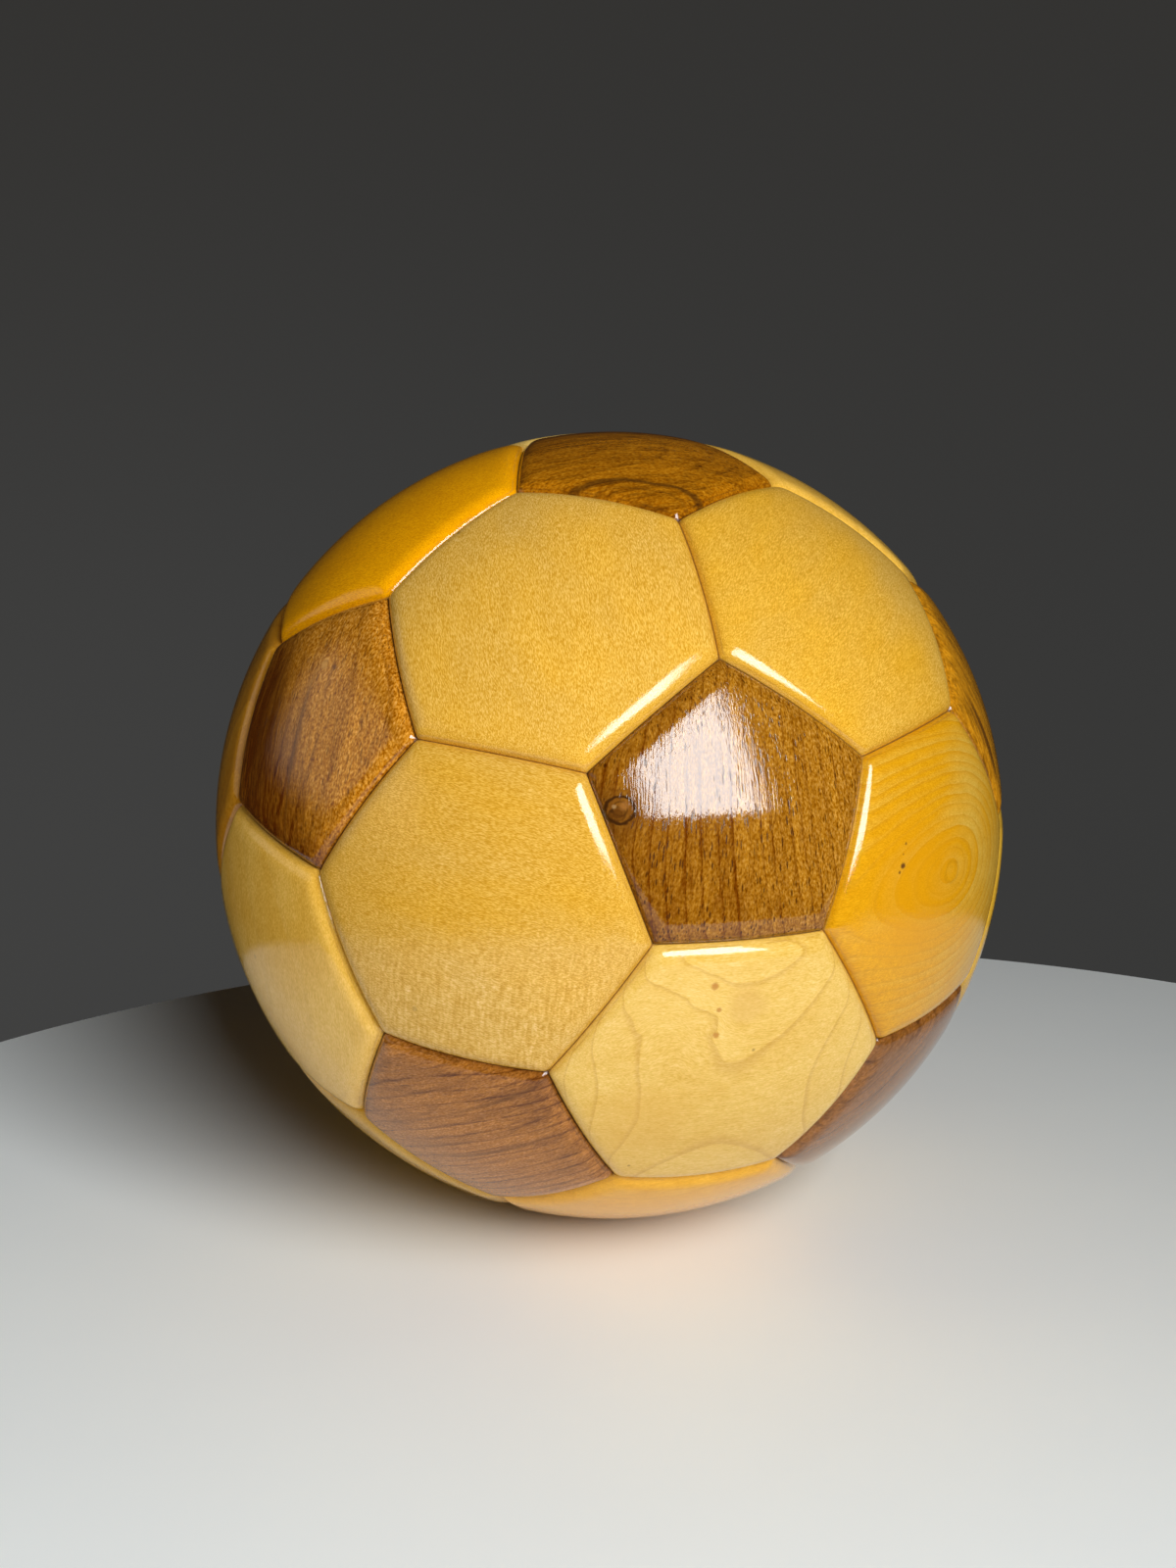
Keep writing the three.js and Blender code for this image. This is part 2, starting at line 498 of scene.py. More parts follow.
def build_joint_edge():
    """The joint: a thin ragged line of glue, a fainter line of painted shade where the rounding
    starts, and painted shade with pooled lacquer beside it.
    """
    tree, edge, result = start_group(
        "ShaderNodeTree",
        "joint edge",
        {
            "Color": ("Color", None),
            "Place": ("Vector", None),
            "Line Color": ("Color", (0.1, 0.03, 0.005, 1)),
        },
        {"Color": "Color", "Roughness": "Float"},
    )
    from_joint = add_node(
        tree, "ShaderNodeAttribute", {}, attribute_name="from_joint"
    )["Fac"] * METRE
    ragged = noise(pattern(edge["Place"], 0.9, 0.9, 0.9), 2.0) - 0.5
    patchy = noise(pattern(edge["Place"], 5, 5, 5), 2.0)

    # the line of glue, and a broken line of painted shade along the crease where the rounding starts
    glue = 1 - rise(from_joint + ragged * 0.2, 0.02, 0.2)
    start = rise(from_joint + ragged * 0.3, 0.62, 0.82)
    crease_shade = start * (1 - rise(from_joint + ragged * 0.3, 0.86, 1.15))
    crease_shade = crease_shade * rise(patchy, 0.4, 0.62)

    # painted shade along the groove, together with lacquer pooled there, darkens the wood a little
    # towards the joint, and the lacquer is dull down in the joint
    pooled_and_shaded = rise(from_joint + ragged * 2, 0.2, 2.6) * 0.06 + 0.94
    tinted = dim(edge["Color"], pooled_and_shaded)
    line = (glue * 0.8).do("MAXIMUM", crease_shade * 0.4)
    feed(result.inputs["Color"], blend(line, tinted, edge["Line Color"]))
    dull = (1 - rise(from_joint, 0.02, 0.12)) * 0.3
    in_corner = (1 - rise(from_joint, -0.25, 0.0)) * 0.6
    feed(result.inputs["Roughness"], dull + in_corner)
    return tree


joint_edge = build_joint_edge()


BROWN = (0.46, 0.2, 0.025)
DARK_BROWN = (0.12, 0.038, 0.005)
PORE_BROWN = (0.045, 0.009, 0.0005)
KNOT_BARK = (0.05, 0.016, 0.003)
WALNUT_JOINT = (0.055, 0.018, 0.004)


def build_walnut_figure():
    """Walnut: broad and narrow streaks, curled fibres, ring lines and open pores."""
    tree, wood, result = start_group(
        "ShaderNodeTree",
        "walnut figure",
        {
            "Place": ("Vector", None),
            "Shade": ("Float", 0.0),
            "Heart": ("Vector", None),
            "Ring Pitch": ("Float", 2.5),
            "Wander": ("Float", 1.0),
            "Fan": ("Float", 0.0),
            "Light": ("Color", (0.5, 0.24, 0.04, 1)),
            "Dark": ("Color", (0.16, 0.055, 0.008, 1)),
            "Streaks": ("Float", 0.5),
            "Lines": ("Float", 0.4),
            "Curl": ("Float", 0.3),
            "Pores": ("Float", 0.5),
        },
        {"Color": "Color", "Height": "Float", "Roughness": "Float"},
    )
    grown = add_node(
        tree,
        "ShaderNodeGroup",
        {
            "Place": wood["Place"],
            "Heart": wood["Heart"],
            "Ring Pitch": wood["Ring Pitch"],
            "Wander": wood["Wander"],
            "Fan": wood["Fan"],
        },
        node_tree=grown_wood,
    )
    place = grown["Place"]

    # the shade between light and dark: bands, streaks, threads and a line for each year
    broad = rise(noise(pattern(place, 7, 110, 7), 1.0), 0.3, 0.7) - 0.5
    streak = noise(pattern(place, 1.4, 30, 1.4), 2.0, 0.6) - 0.5
    thread = noise(pattern(place, 0.5, 9, 0.5), 1.0) - 0.5
    shade = 0.2 + wood["Shade"] * 0.7 + (broad * 0.5 + streak * 2.2) * wood["Streaks"]
    yearly = (grown["Line"] + grown["Tone"] * 0.3) * wood["Lines"]
    shade = shade + thread * (wood["Streaks"] + 0.2) + yearly
    shade = shade.do("MAXIMUM", 0.0).do("MINIMUM", 1.0)
    wooden = blend(shade, wood["Light"], wood["Dark"])

    # curled fibres lie light and dark beside each other, least where the wood is shaded
    curl = noise(pattern(place, 0.55, 0.9, 0.55), 1.0) - 0.5
    wooden = dim(wooden, 1 + curl * wood["Curl"] * (1 - wood["Shade"] * 0.7) * 2.4)

    # pores are cut vessels: long dashes, with shorter ones between them
    vessels = add_node(
        tree,
        "ShaderNodeTexVoronoi",
        {"Vector": pattern(place, 0.9, 5.0, 0.9), "Scale": 1.0, "Randomness": 1.0},
    )["Distance"]
    crowd = rise(noise(pattern(place, 4, 12, 4), 2.0), 0.36, 0.56)
    dash = (1 - rise(vessels, 0.18, 0.34)) * (crowd * 0.7 + 0.3)
    pits = add_node(
        tree,
        "ShaderNodeTexVoronoi",
        {"Vector": pattern(place, 0.6, 1.5, 0.6), "Scale": 1.0, "Randomness": 1.0},
    )["Distance"]
    pit = (1 - rise(pits, 0.12, 0.34)) * 0.45
    pore = dash.do("MAXIMUM", pit) * wood["Pores"]
    feed(result.inputs["Color"], blend(pore * 0.85, wooden, (*PORE_BROWN, 1)))

    # the lacquer sinks into the pores and follows the fibres in soft waves
    wave = noise(pattern(place, 5, 9, 5), 1.0) - 0.5
    ridges = thread * 0.45 + streak * 0.25 + curl * 0.15 + wave * 0.4
    feed(result.inputs["Height"], 0.7 - pore * 0.22 + ridges)
    feed(result.inputs["Roughness"], pore * 0.12)
    return tree


walnut_figure = build_walnut_figure()


MILLIMETRE = 1 / METRE
GRAIN_RELIEF = 0.00006  # of pores and ridges that show through the lacquer
LACQUER_ROUGHNESS = 0.06
LACQUER_IOR = 1.48
NOWHERE = (0, 900, 1000)  # a stretch past the edge of any board


def finish_board(name, node, cut, figure, look, knots, line_colour):
    """A board's own material: its cut of wood, its knots, its joints and the lacquer on it.
    cut holds the grain's angle in the face, from level, its dive into the face, how far
    along the plank the board was sawn, and which way and over which stretch the colour
    shifts to the figure's Dark or Deep colour, which on two boards is partly painted light.
    Angles are in degrees and lengths in millimetres, from the middle of the face."""
    sizes, out, _ = measure_board(node)

    # the face's own directions, and then the grain's
    up = (Vector((0, 0, 1)) - out * out.z).normalized()
    right = up.cross(out)
    angle = math.radians(cut["grain"])
    along = right * math.cos(angle) + up * math.sin(angle)
    across = right * math.sin(angle) - up * math.cos(angle)
    tip = Matrix.Rotation(math.radians(cut.get("dive", 0)), 3, across)
    axes = Matrix((across, tip @ along, tip @ out)).transposed()
    start = out * sizes["Crown Radius"] - axes.col[1] * cut["sawn_at"] * MILLIMETRE

    # places in the plank, in millimetres across, along and out of the grain
    material = bpy.data.materials.new(name)
    material.use_nodes = True
    tree = material.node_tree
    tree.nodes.clear()
    coordinates = add_node(tree, "ShaderNodeTexCoord", {})
    place = add_node(
        tree,
        "ShaderNodeMapping",
        {
            "Vector": coordinates["Object"],
            "Location": start,
            "Rotation": axes.to_euler(),
            "Scale": (MILLIMETRE, MILLIMETRE, MILLIMETRE),
        },
        vector_type="TEXTURE",
    )["Vector"]

    # towards one side the colour moves to the Dark or Deep one; on hexagon_lower_3 and
    # pentagon_lower_4 this is partly painted light and shade, as noted there
    toward, darkens_from, darkens_to = cut.get("darkens", NOWHERE)
    side = math.radians(toward - cut["grain"])
    x, y, _ = parts_of(place)
    reach = (y - cut["sawn_at"]) * math.cos(side) - x * math.sin(side)
    shade = rise(reach, darkens_from, darkens_to)

    # each knot shifts the grain and leaves two stains, of its core and of its bark
    grain = place
    stains = []
    for mark in knots:
        spot = right * mark["right"] + up * mark["up"]
        ring = add_node(
            tree,
            "ShaderNodeGroup",
            {
                "Place": place,
                "Grain": grain,
                "Centre": (across.dot(spot), along.dot(spot) + cut["sawn_at"], 0),
                "Radius": mark["radius"],
                "Stretch": mark["stretch"],
                "Bend": mark["bend"],
                "Pull": mark["pull"],
                "Rim Width": mark["rim_width"],
            },
            node_tree=pin_knot,
        )
        grain = ring["Grain"]
        stains.append((ring["Core"] * mark["strength"], mark["colour"]))
        stains.append((ring["Rim"] * mark["rim"], KNOT_BARK))

    # the bare wood, its stains, its joint, and the lacquer over all
    wood = add_node(
        tree,
        "ShaderNodeGroup",
        {"Place": grain, "Shade": shade, **look},
        node_tree=figure,
    )
    colour = wood["Color"]
    for strength, stain in stains:
        colour = blend(strength, colour, (*stain, 1))
    edge = add_node(
        tree,
        "ShaderNodeGroup",
        {"Color": colour, "Place": place, "Line Color": (*line_colour, 1)},
        node_tree=joint_edge,
    )
    bump = add_node(
        tree,
        "ShaderNodeBump",
        {"Strength": 1.0, "Distance": GRAIN_RELIEF, "Height": wood["Height"]},
    )["Normal"]
    lacquer = add_node(
        tree,
        "ShaderNodeBsdfPrincipled",
        {
            "Base Color": edge["Color"],
            "Roughness": wood["Roughness"] + edge["Roughness"] + LACQUER_ROUGHNESS,
            "IOR": LACQUER_IOR,
            "Normal": bump,
        },
    )["BSDF"]
    surface = tree.nodes.new("ShaderNodeOutputMaterial")
    feed(surface.inputs["Surface"], lacquer)
    return material


def knot(
    right,
    up,
    radius,
    colour,
    strength=0.6,
    rim=0.0,
    rim_width=1.0,
    bend=0.0,
    pull=0.0,
    stretch=1.0,
):
    """A knot or stain on a board's face: its place and radius in mm, its colour, how dark its
    bark is, how far the grain bends round it or is drawn aside, and its length for its width."""
    return {
        "right": right,
        "up": up,
        "radius": radius,
        "colour": colour,
        "strength": strength,
        "rim": rim,
        "rim_width": rim_width,
        "bend": bend,
        "pull": pull,
        "stretch": stretch,
    }


def vein(right, up, radius, strength, stretch):
    """A dark streak that runs with the grain."""
    return knot(right, up, radius, DARK_BROWN, strength=strength, stretch=stretch)


def walnut_look(
    light, dark, heart, pitch, wander=1.0, fan=0.0, streaks=0.5, lines=0.3, curl=0.3, pores=0.5
):
    """The settings of the walnut figure for one board. heart is where the middle of the tree
    lies from the middle of the face, across the grain and outwards, in mm."""
    return {
        "Light": (*light, 1),
        "Dark": (*dark, 1),
        "Heart": (heart[0], 0, heart[1]),
        "Ring Pitch": pitch,
        "Wander": wander,
        "Fan": fan,
        "Streaks": streaks,
        "Lines": lines,
        "Curl": curl,
        "Pores": pores,
    }


# each board's cut, its look and its knots, which are placed in mm right and up on its face
walnut_boards = {
    "pentagon_upper_5": (
        {"grain": 88, "sawn_at": 40, "darkens": (195, -100, 110)},
        walnut_look(
            light=(0.545, 0.232, 0.016), dark=(0.14, 0.033, 0.0003), heart=(-60, -45), pitch=3.6,
            wander=1.2, fan=0.006, streaks=0.3, lines=0.25, curl=0.95, pores=1.0,
        ),
        [
            knot(-29.0, 2.0, 7.5, DARK_BROWN, strength=0.5),
            knot(-28.9, 2.6, 3.3, (0.2, 0.07, 0.008), strength=0.7, rim=1.3, rim_width=0.7, bend=1.0),
            knot(-29.6, 1.6, 1.7, (0.09, 0.026, 0.003), strength=0.7, rim=0.5),
            knot(-28.0, 3.4, 1.3, (0.36, 0.14, 0.03), strength=0.5),
            knot(-30.2, 3.4, 0.6, (0.45, 0.26, 0.1)),
            knot(-30.8, 2.4, 0.5, KNOT_BARK, strength=0.7),
        ],
    ),
    "pentagon_upper_4": (
        {"grain": 97, "sawn_at": 160, "darkens": (218, -9, 17)},
        walnut_look(
            light=(0.62, 0.24, 0.016), dark=(0.12, 0.024, 0.0003), heart=(26, -40), pitch=4.0,
            wander=1.8, fan=0.0, streaks=0.35, lines=0.2, curl=0.8, pores=0.6,
        ),
        [
            vein(0.8, -7.0, 0.9, strength=0.55, stretch=30.0),
            vein(-16.0, -4.0, 7.0, strength=0.35, stretch=4.0),
            knot(0.9, 15.6, 1.6, (0.66, 0.34, 0.08), strength=0.5, bend=1.5),
            knot(5.4, 15.4, 0.9, (0.14, 0.05, 0.012), strength=0.7, bend=0.5),
        ],
    ),
    "pentagon_top": (
        {"grain": -6, "dive": 10, "sawn_at": 300, "darkens": (90, 6, 34)},
        walnut_look(
            light=(0.46, 0.16, 0.003), dark=(0.09, 0.02, 0.0005), heart=(0, 60), pitch=3.1,
            wander=0.8, fan=0.0, streaks=0.6, lines=0.2, curl=0.55, pores=0.5,
        ),
        [
            knot(-20.0, -38.0, 18.0, BROWN, strength=0.0, rim=0.8, rim_width=0.3, stretch=1.5),
            knot(-20.0, -38.0, 14.5, BROWN, strength=0.0, rim=0.3, rim_width=0.2, stretch=1.5),
        ],
    ),
    "pentagon_upper_1": (
        {"grain": 106, "sawn_at": 420},
        walnut_look(
            light=(0.62, 0.25, 0.008), dark=(0.1, 0.03, 0.002), heart=(-45, -30), pitch=5.0,
            wander=2.2, fan=0.0, streaks=0.7, lines=0.3, curl=0.3, pores=0.4,
        ),
        [
            knot(-23.0, -8.0, 2.2, DARK_BROWN, strength=0.85, bend=0.5, stretch=8.0),
            knot(-27.5, -3.0, 1.2, DARK_BROWN, bend=0.3, stretch=9.0),
        ],
    ),
    "pentagon_lower_4": (
        # darker towards the upper right; along the top edge this is painted shade, standing in for
        # the dark room mirrored there
        {"grain": 25, "sawn_at": 560, "darkens": (40, 4, 60)},
        walnut_look(
            light=(0.5, 0.19, 0.032), dark=(0.13, 0.036, 0.005), heart=(60, -60), pitch=4.2,
            wander=1.7, fan=-0.005, streaks=0.5, lines=0.36, curl=0.5, pores=0.5,
        ),
        [
            vein(14.0, 20.0, 0.8, strength=0.5, stretch=28.0),
            vein(5.0, -2.0, 0.8, strength=0.55, stretch=28.0),
            vein(15.0, -18.5, 0.7, strength=0.45, stretch=22.0),
        ],
    ),
    "pentagon_lower_5": (
        {"grain": 46, "sawn_at": 700},
        walnut_look(
            light=(0.29, 0.11, 0.024), dark=(0.08, 0.026, 0.007), heart=(30, -50), pitch=3.4,
            wander=1.5, fan=0.0, streaks=0.6, lines=0.3, curl=0.3, pores=0.4,
        ),
        [],
    ),
}

WALNUT_SEED = 11
chance = random.Random(WALNUT_SEED)
walnut_nodes = sorted(n for n in frame["nodes"] if n.startswith("pentagon"))
for node in walnut_nodes:
    if node not in walnut_boards:
        tone = chance.uniform(0.8, 1.15)
        light = tuple(part * tone for part in BROWN)
        heart = (chance.uniform(-60, 60), chance.uniform(-60, -25))
        cut = {"grain": chance.uniform(0, 180), "sawn_at": chance.uniform(900, 3000)}
        pitch = chance.uniform(2.6, 4.2)
        look = walnut_look(light, DARK_BROWN, heart, pitch, wander=1.4)
        walnut_boards[node] = (cut, look, [])
for node in walnut_nodes:
    cut, look, knots = walnut_boards[node]
    finish = finish_board("walnut " + node, node, cut, walnut_figure, look, knots, WALNUT_JOINT)
    make_board(node, PENTAGON_SIDES, finish)

# ==== The maple hexagons ======================================================
# Twenty six-sided boards of solid maple, mitred, glued, turned and lacquered as the walnut
# ones are. Maple has no open pores: it shows ray fleck, faint ring lines and cloudy tones.

HEXAGON_SIDES = 6
STRAW = (0.67, 0.37, 0.035)
GOLD = (0.6, 0.31, 0.015)
RED_BROWN = (0.42, 0.14, 0.01)
RING_BROWN = (0.4, 0.17, 0.02)
SPECK_BROWN = (0.13, 0.045, 0.01)
MAPLE_JOINT = (0.42, 0.19, 0.03)


def build_maple_figure():
    """Maple: cloudy tones, thin ring lines, ray fleck and a ripple across the grain."""
    tree, wood, result = start_group(
        "ShaderNodeTree",
        "maple figure",
        {
            "Place": ("Vector", None),
            "Shade": ("Float", 0.0),
            "Heart": ("Vector", None),
            "Ring Pitch": ("Float", 2.5),
            "Line Width": ("Float", 0.3),
            "Unevenness": ("Float", 0.8),
            "Wander": ("Float", 0.5),
            "Pale": ("Color", (0.78, 0.47, 0.07, 1)),
            "Deep": ("Color", (0.66, 0.36, 0.045, 1)),
            "Fleck": ("Float", 0.5),
            "Rings": ("Float", 0.3),
            "Lines": ("Float", 0.2),
            "Ripple": ("Float", 0.0),
        },
        {"Color": "Color", "Height": "Float", "Roughness": "Float"},
    )
    grown = add_node(
        tree,
        "ShaderNodeGroup",
        {
            "Place": wood["Place"],
            "Heart": wood["Heart"],
            "Ring Pitch": wood["Ring Pitch"],
            "Line Width": wood["Line Width"],
            "Unevenness": wood["Unevenness"],
            "Wander": wood["Wander"],
        },
        node_tree=grown_wood,
    )
    place = grown["Place"]

    # the figure, from clouds some centimetres long down to fleck a millimetre long
    cloud = noise(pattern(place, 14, 30, 14), 2.0) - 0.5
    mottle = noise(pattern(place, 2.4, 5, 2.4), 2.0, 0.6) - 0.5
    fleck = rise(noise(pattern(place, 0.23, 1.15, 0.23), 1.0), 0.28, 0.72) - 0.5
    fibre = noise(pattern(place, 0.4, 7, 0.4), 1.0) - 0.5
    ripple = noise(pattern(place, 3.6, 0.8, 3.6), 1.0) - 0.5

    # the colour deepens in clouds and through each year, and moves to the Deep one where Shade rises,
    # which on hexagon_lower_3 is painted light from the table
    rings = (grown["Ring"] - 0.5) * 0.7 + (grown["Tone"] - 0.5) * 0.5
    deep = 0.35 + cloud * 1.5 + wood["Shade"] * 0.6 + rings * wood["Rings"]
    deep = deep.do("MAXIMUM", 0.0).do("MINIMUM", 1.0)
    wooden = blend(deep, wood["Pale"], wood["Deep"])

    # fleck, fibres and ripple shimmer, and a thin line ends each year
    rippled = ripple * wood["Ripple"] * (wood["Shade"] * 0.8 + 0.2)
    mottled = mottle * (0.28 - wood["Fleck"] * 0.3)
    shimmer = fleck * wood["Fleck"] * 0.44 + fibre * 0.24 + mottled
    wooden = dim(wooden, 1 - shimmer + rippled * 0.9)
    wooden = blend(grown["Line"] * wood["Lines"], wooden, (*RING_BROWN, 1))
    feed(result.inputs["Color"], wooden)

    # the lacquer follows the fibres, the fleck and the ripple in soft waves
    wave = noise(pattern(place, 7, 9, 7), 1.0) - 0.5
    ridges = fibre * 0.25 - fleck * wood["Fleck"] * 0.2 + rippled * 0.4 + wave * 0.9
    feed(result.inputs["Height"], 0.5 + ridges)
    feed(result.inputs["Roughness"], (fleck + 0.5) * 0.03)
    return tree


maple_figure = build_maple_figure()


def speck(right, up, radius, strength):
    """A dark dot on a board's face."""
    return knot(right, up, radius, SPECK_BROWN, strength=strength)


def drawn_grain(right, up, radius, pull):
    """A place where the grain is drawn aside, with no colour of its own."""
    return knot(right, up, radius, STRAW, strength=0.0, pull=pull)


def maple_look(
    pale,
    deep,
    heart,
    pitch,
    wander=0.5,
    fleck=0.5,
    rings=0.3,
    lines=0.1,
    ripple=0.0,
    line_width=0.3,
    unevenness=0.8,
):
    """The settings of the maple figure for one board. heart is given as for walnut."""
    return {
        "Pale": (*pale, 1),
        "Deep": (*deep, 1),
        "Heart": (heart[0], 0, heart[1]),
        "Ring Pitch": pitch,
        "Wander": wander,
        "Fleck": fleck,
        "Rings": rings,
        "Lines": lines,
        "Ripple": ripple,
        "Line Width": line_width,
        "Unevenness": unevenness,
    }


maple_boards = {
    "hexagon_top_4": (
        {"grain": 108, "sawn_at": 30, "darkens": (140, 8, 34)},
        maple_look(
            pale=(0.75, 0.388, 0.038), deep=(0.65, 0.36, 0.06), heart=(-30, -120), pitch=5.0,
            wander=0.8, fleck=0.8, rings=0.1, lines=0.0,
        ),
        [
            speck(-26.5, 24.0, 0.5, strength=0.6),
        ],
    ),
    "hexagon_top_5": (
        {"grain": 30, "sawn_at": 150, "darkens": (10, 8, 32)},
        maple_look(
            pale=(0.74, 0.37, 0.022), deep=(0.67, 0.375, 0.058), heart=(40, -110), pitch=4.6,
            wander=0.8, fleck=0.7, rings=0.1, lines=0.0,
        ),
        [],
    ),
    "hexagon_top_3": (
        {"grain": 30, "sawn_at": 260},
        maple_look(
            pale=(0.9, 0.37, 0.001), deep=(0.8, 0.31, 0.0005), heart=(40, -90), pitch=5.0,
            wander=0.8, fleck=0.6, rings=0.1, lines=0.0,
        ),
        [],
    ),
    "hexagon_top_1": (
        {"grain": 140, "sawn_at": 380},
        maple_look(pale=(0.9, 0.5, 0.07), deep=(0.86, 0.46, 0.06), heart=(40, -90), pitch=4.0),
        [],
    ),
    "hexagon_top_2": (
        {"grain": 20, "sawn_at": 420},
        maple_look(pale=(0.86, 0.56, 0.15), deep=(0.82, 0.5, 0.12), heart=(40, -90), pitch=4.0),
        [],
    ),
    "hexagon_upper_3": (
        {"grain": 80, "sawn_at": 450},
        maple_look(
            pale=(0.56, 0.24, 0.014), deep=(0.42, 0.16, 0.006), heart=(-40, -90), pitch=4.2,
            wander=0.6, fleck=0.6, rings=0.5, lines=0.3,
        ),
        [],
    ),
    "hexagon_upper_4": (
        {"grain": -10, "sawn_at": 500, "darkens": (270, 0, 20)},
        maple_look(
            pale=(0.67, 0.342, 0.03), deep=(0.65, 0.37, 0.07), heart=(10, -130), pitch=5.5,
            wander=0.7, fleck=0.7, rings=0.1, lines=0.0, ripple=0.55,
        ),
        [
            knot(-14.7, -25.3, 0.9, (0.36, 0.2, 0.03), strength=0.5),
        ],
    ),
    "hexagon_upper_5": (
        {"grain": 5, "dive": 35, "sawn_at": 640, "darkens": (180, -16, 14)},
        maple_look(
            pale=(0.66, 0.375, 0.045), deep=(0.68, 0.305, 0.005), heart=(-2.8, 0.8), pitch=2.7,
            wander=0.8, fleck=0.45, rings=0.9, lines=0.22,
        ),
        [
            knot(-14.0, 1.0, 21.0, (0.68, 0.28, 0.003)),
            knot(-0.4, 2.2, 2.8, GOLD, strength=0.1, rim=0.15, bend=0.5),
            speck(-18.8, 8.2, 0.9, strength=0.95),
            speck(-20.0, 6.8, 0.5, strength=0.8),
            speck(-17.6, 13.4, 0.45, strength=0.7),
            speck(-18.6, 11.0, 0.3, strength=0.6),
        ],
    ),
    "hexagon_lower_4": (
        {"grain": 0, "sawn_at": 0},
        maple_look(
            pale=(0.77, 0.485, 0.115), deep=(0.69, 0.4, 0.072), heart=(2.5, -71.0), pitch=2.75,
            wander=0.3, fleck=0.35, rings=0.35, lines=0.26, line_width=0.14, unevenness=0.1,
        ),
        [
            knot(-6.9, 29.3, 1.1, RED_BROWN, strength=0.75, bend=0.6),
            knot(-5.5, 23.1, 0.8, RED_BROWN, strength=0.7, bend=0.5),
            knot(-5.7, 16.2, 1.0, RED_BROWN, strength=0.75, bend=0.6),
            knot(1.5, 23.5, 6.0, (0.62, 0.34, 0.08), strength=0.45),
            drawn_grain(-17.0, 19.0, 13.0, pull=6.5),
            drawn_grain(-7.0, 21.0, 4.0, pull=2.2),
            knot(-22.0, -12.0, 15.0, (0.66, 0.35, 0.05), strength=0.4),
            speck(4.5, 10.8, 0.5, strength=0.5),
            speck(-20.7, -29.6, 0.5, strength=0.5),
        ],
    ),
    "hexagon_lower_3": (
        # painted light: towards the bottom the colour turns paler and bluer, standing in for light
        # bounced up from the table
        {"grain": 75, "sawn_at": 900, "darkens": (262, -24, 14)},
        maple_look(
            pale=(0.75, 0.4, 0.048), deep=(0.88, 0.53, 0.11), heart=(30, -90), pitch=5.6,
            wander=0.9, fleck=0.4, rings=0.3, lines=0.08,
        ),
        [
            knot(-4.0, 4.0, 0.8, (0.4, 0.22, 0.03), strength=0.5),
        ],
    ),
    "hexagon_bottom_4": (
        {"grain": 12, "sawn_at": 1000},
        maple_look(
            pale=(0.82, 0.41, 0.03), deep=(0.74, 0.34, 0.015), heart=(30, -90), pitch=3.0,
            wander=0.8, fleck=0.3, rings=0.3, lines=0.06,
        ),
        [],
    ),
}

MAPLE_SEED = 23
chance = random.Random(MAPLE_SEED)
maple_nodes = sorted(n for n in frame["nodes"] if n.startswith("hexagon"))
for node in maple_nodes:
    if node not in maple_boards:
        tone = chance.uniform(0.94, 1.05)
        pale = tuple(part * tone for part in STRAW)
        deep = tuple(part * tone for part in GOLD)
        heart = (chance.uniform(-50, 50), chance.uniform(-130, -60))
        cut = {"grain": chance.uniform(0, 180), "sawn_at": chance.uniform(1200, 4000)}
        pitch = chance.uniform(2.4, 5.0)
        fleck = chance.uniform(0.3, 0.8)
        lines = chance.uniform(0.0, 0.3)
        look = maple_look(pale, deep, heart, pitch, wander=0.7, fleck=fleck, lines=lines)
        maple_boards[node] = (cut, look, [])
for node in maple_nodes:
    cut, look, knots = maple_boards[node]
    finish = finish_board("maple " + node, node, cut, maple_figure, look, knots, MAPLE_JOINT)
    make_board(node, HEXAGON_SIDES, finish)

# ==== The table =================================================================
# The ball lies on a plain round table top, painted white, with a small rounding at its rim.
# It isn't part of the ball.

TABLE_RADIUS = 0.353
TABLE_THICKNESS = 0.02
RIM_ROUNDING = 0.002
TABLE_CENTRE = (0.043, -0.124)
TABLE_SEGMENTS = 360
ball_low = cad_box[0][2]

table = bpy.data.objects.new("table", bpy.data.meshes.new("table"))
bpy.context.scene.collection.objects.link(table)
table_rings = [
    (0.0, 0.0),
    (TABLE_RADIUS - RIM_ROUNDING, 0.0),
    (TABLE_RADIUS - RIM_ROUNDING * 0.3, -RIM_ROUNDING * 0.3),
    (TABLE_RADIUS, -RIM_ROUNDING),
    (TABLE_RADIUS, -TABLE_THICKNESS),
    (0.0, -TABLE_THICKNESS),
]
table_points = []
table_faces = []
for radius, height in table_rings:
    for step in range(TABLE_SEGMENTS):
        turn = 2 * math.pi * step / TABLE_SEGMENTS
        x = TABLE_CENTRE[0] + radius * math.cos(turn)
        y = TABLE_CENTRE[1] + radius * math.sin(turn)
        table_points.append((x, y, ball_low + height))
for ring in range(len(table_rings) - 1):
    for step in range(TABLE_SEGMENTS):
        a = ring * TABLE_SEGMENTS + step
        b = ring * TABLE_SEGMENTS + (step + 1) % TABLE_SEGMENTS
        table_faces.append((a, a + TABLE_SEGMENTS, b + TABLE_SEGMENTS, b))
table.data.from_pydata(table_points, [], table_faces)

paint = bpy.data.materials.new("white table")
paint.use_nodes = True
paint_tree = paint.node_tree
paint_tree.nodes.clear()
paint_place = add_node(paint_tree, "ShaderNodeTexCoord", {})["Object"]
paint_cloud = noise(pattern(paint_place, 0.05, 0.05, 0.05), 3.0)
paint_colour = blend(paint_cloud, (0.9, 0.9, 0.88, 1), (0.87, 0.87, 0.86, 1))
paint_surface = add_node(
    paint_tree,
    "ShaderNodeBsdfPrincipled",
    {"Base Color": paint_colour, "Roughness": 0.55, "Specular IOR Level": 0.2},
)["BSDF"]
paint_output = paint_tree.nodes.new("ShaderNodeOutputMaterial")
feed(paint_output.inputs["Surface"], paint_surface)
table.data.materials.append(paint)

# ==== The light =================================================================
# A tall window stands to the right of the camera, in a dim grey room. It shows in the
# lacquer, and soft light from two walls fills the shaded sides of the ball.


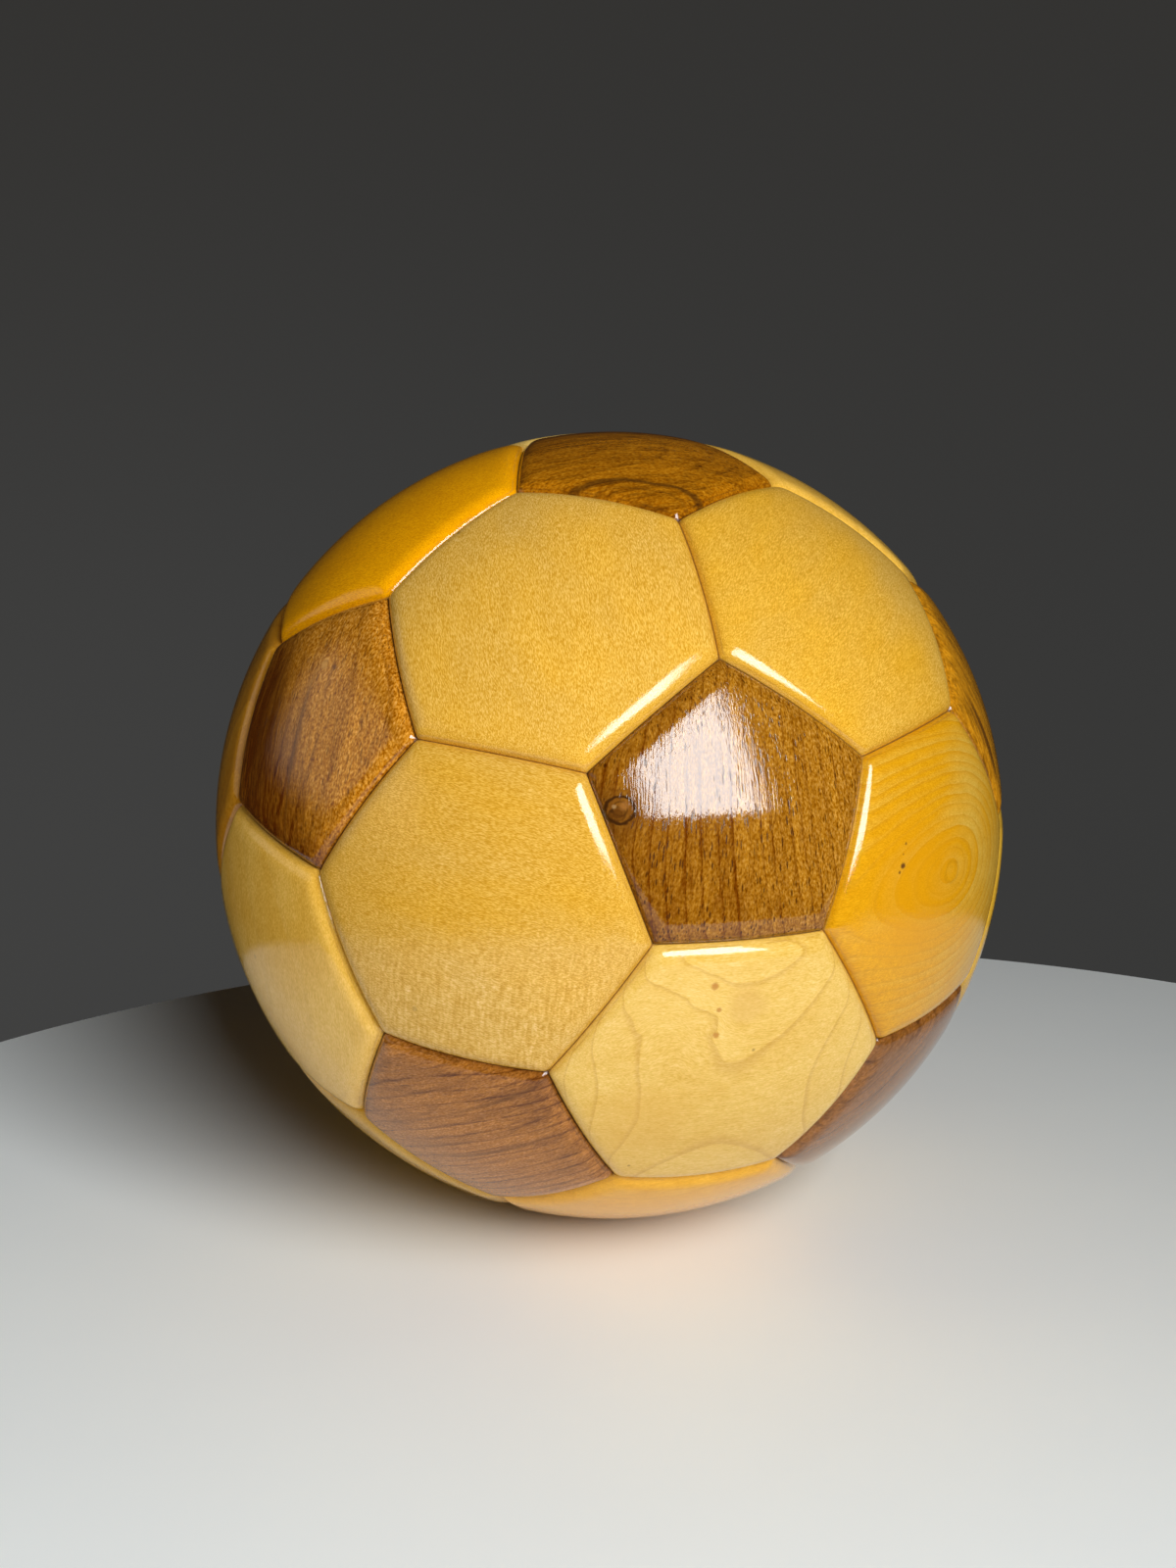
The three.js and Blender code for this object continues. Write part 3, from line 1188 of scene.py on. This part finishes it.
def hang_lamp(name, place, facing, width, height, radiance, colour):
    """A flat lamp of an even brightness. facing holds its own directions across and up."""
    light = bpy.data.lights.new(name, "AREA")
    light.shape = "RECTANGLE"
    light.size = width
    light.size_y = height
    light.energy = radiance * math.pi * width * height
    light.color = colour
    lamp = bpy.data.objects.new(name, light)
    bpy.context.scene.collection.objects.link(lamp)
    across, up = facing
    turn = Matrix((across, up, across.cross(up))).transposed()
    lamp.matrix_world = Matrix.Translation(place) @ turn.to_4x4()
    return lamp


def facing_ball(place):
    """The directions across and up of a lamp that looks at the middle of the ball."""
    back = Vector(place).normalized()
    across = Vector((0, 0, 1)).cross(back).normalized()
    return across, back.cross(across)


# the window's far side recedes, so it doesn't face the ball
hang_lamp(
    "window",
    place=(0.44587, -1.36306, 0.70942),
    facing=(Vector((0.16184, 0.95479, -0.24936)), Vector((-0.32595, 0.29023, 0.89974))),
    width=1.464,
    height=0.606,
    radiance=17.0,
    colour=(0.95, 1.0, 1.02),
)

# soft light from the walls on the left and behind falls on the boards alone
boards = bpy.data.collections.new("boards")
for thing in list(bpy.context.scene.collection.objects):
    if thing.name.endswith("_board"):
        boards.objects.link(thing)
walls = {
    "left": ((-1.05, -0.6, 0.18), 0.8, 1.6, (1, 0.99, 0.96)),
    "back": ((0.3, 1.25, 0.5), 0.9, 4.2, (1, 0.98, 0.95)),
}
for name, (place, width, radiance, colour) in walls.items():
    wall = hang_lamp(name, place, facing_ball(place), width, width, radiance, colour)
    wall.visible_glossy = False
    wall.light_linking.receiver_collection = boards

# the room: dim walls, of which the lacquer shows only a paler one to the left
HIGH_WALL = (0.034, 0.033, 0.031, 1)
LOW_WALL_LEFT = (0.052, 0.052, 0.051, 1)
LOW_WALL_RIGHT = (0.04, 0.04, 0.039, 1)
DIM_LIGHT = (0.009, 0.009, 0.0085, 1)
MIRRORED_DARK = (0.008, 0.008, 0.007, 1)
MIRRORED_WALL = (0.6, 0.6, 0.57, 1)

world = bpy.data.worlds.new("grey room")
bpy.context.scene.world = world
world.use_nodes = True
world_tree = world.node_tree
world_tree.nodes.clear()
rays = add_node(world_tree, "ShaderNodeLightPath", {})
way = add_node(world_tree, "ShaderNodeTexCoord", {})["Generated"]
way_x, way_y, way_z = parts_of(way)
pale_wall = rise(way_x * -1.0, 0.76, 0.86) * (1 - rise(way_y, 0.3, 0.55))
pale_wall = pale_wall * rise(way_z, 0.0, 0.14) * (1 - rise(way_z, 0.4, 0.56))
low_wall = blend(rise(way_x, -0.3, 0.3), LOW_WALL_LEFT, LOW_WALL_RIGHT)
seen_room = blend(rise(way_z, -0.3, 0.14), low_wall, HIGH_WALL)
mirrored_room = blend(pale_wall, MIRRORED_DARK, MIRRORED_WALL)
room = blend(rays["Is Camera Ray"], DIM_LIGHT, seen_room)
mirrored = rays["Is Glossy Ray"].do("MAXIMUM", rays["Is Transmission Ray"])
room = blend(mirrored, room, mirrored_room)
background = add_node(world_tree, "ShaderNodeBackground", {"Color": room, "Strength": 1.0})
world_output = world_tree.nodes.new("ShaderNodeOutputWorld")
feed(world_output.inputs["Surface"], background["Background"])

# ==== The camera ================================================================
# It looks at the ball a little from above, from about 0.6 m away, with the ball a little
# over the middle of the view.

CAMERA_PLACE = (-0.00589, -0.59747, 0.15726)
CAMERA_TILT = 76.3  # degrees up from straight down
CAMERA_LENS = 49.93
SENSOR_WIDTH = 36

camera_data = bpy.data.cameras.new("camera")
camera_data.sensor_width = SENSOR_WIDTH
camera_data.lens = CAMERA_LENS
camera = bpy.data.objects.new("camera", camera_data)
bpy.context.scene.collection.objects.link(camera)
camera.location = CAMERA_PLACE
camera.rotation_euler = (math.radians(CAMERA_TILT), 0, 0)
bpy.context.scene.camera = camera
bpy.context.scene.view_settings.view_transform = "Standard"
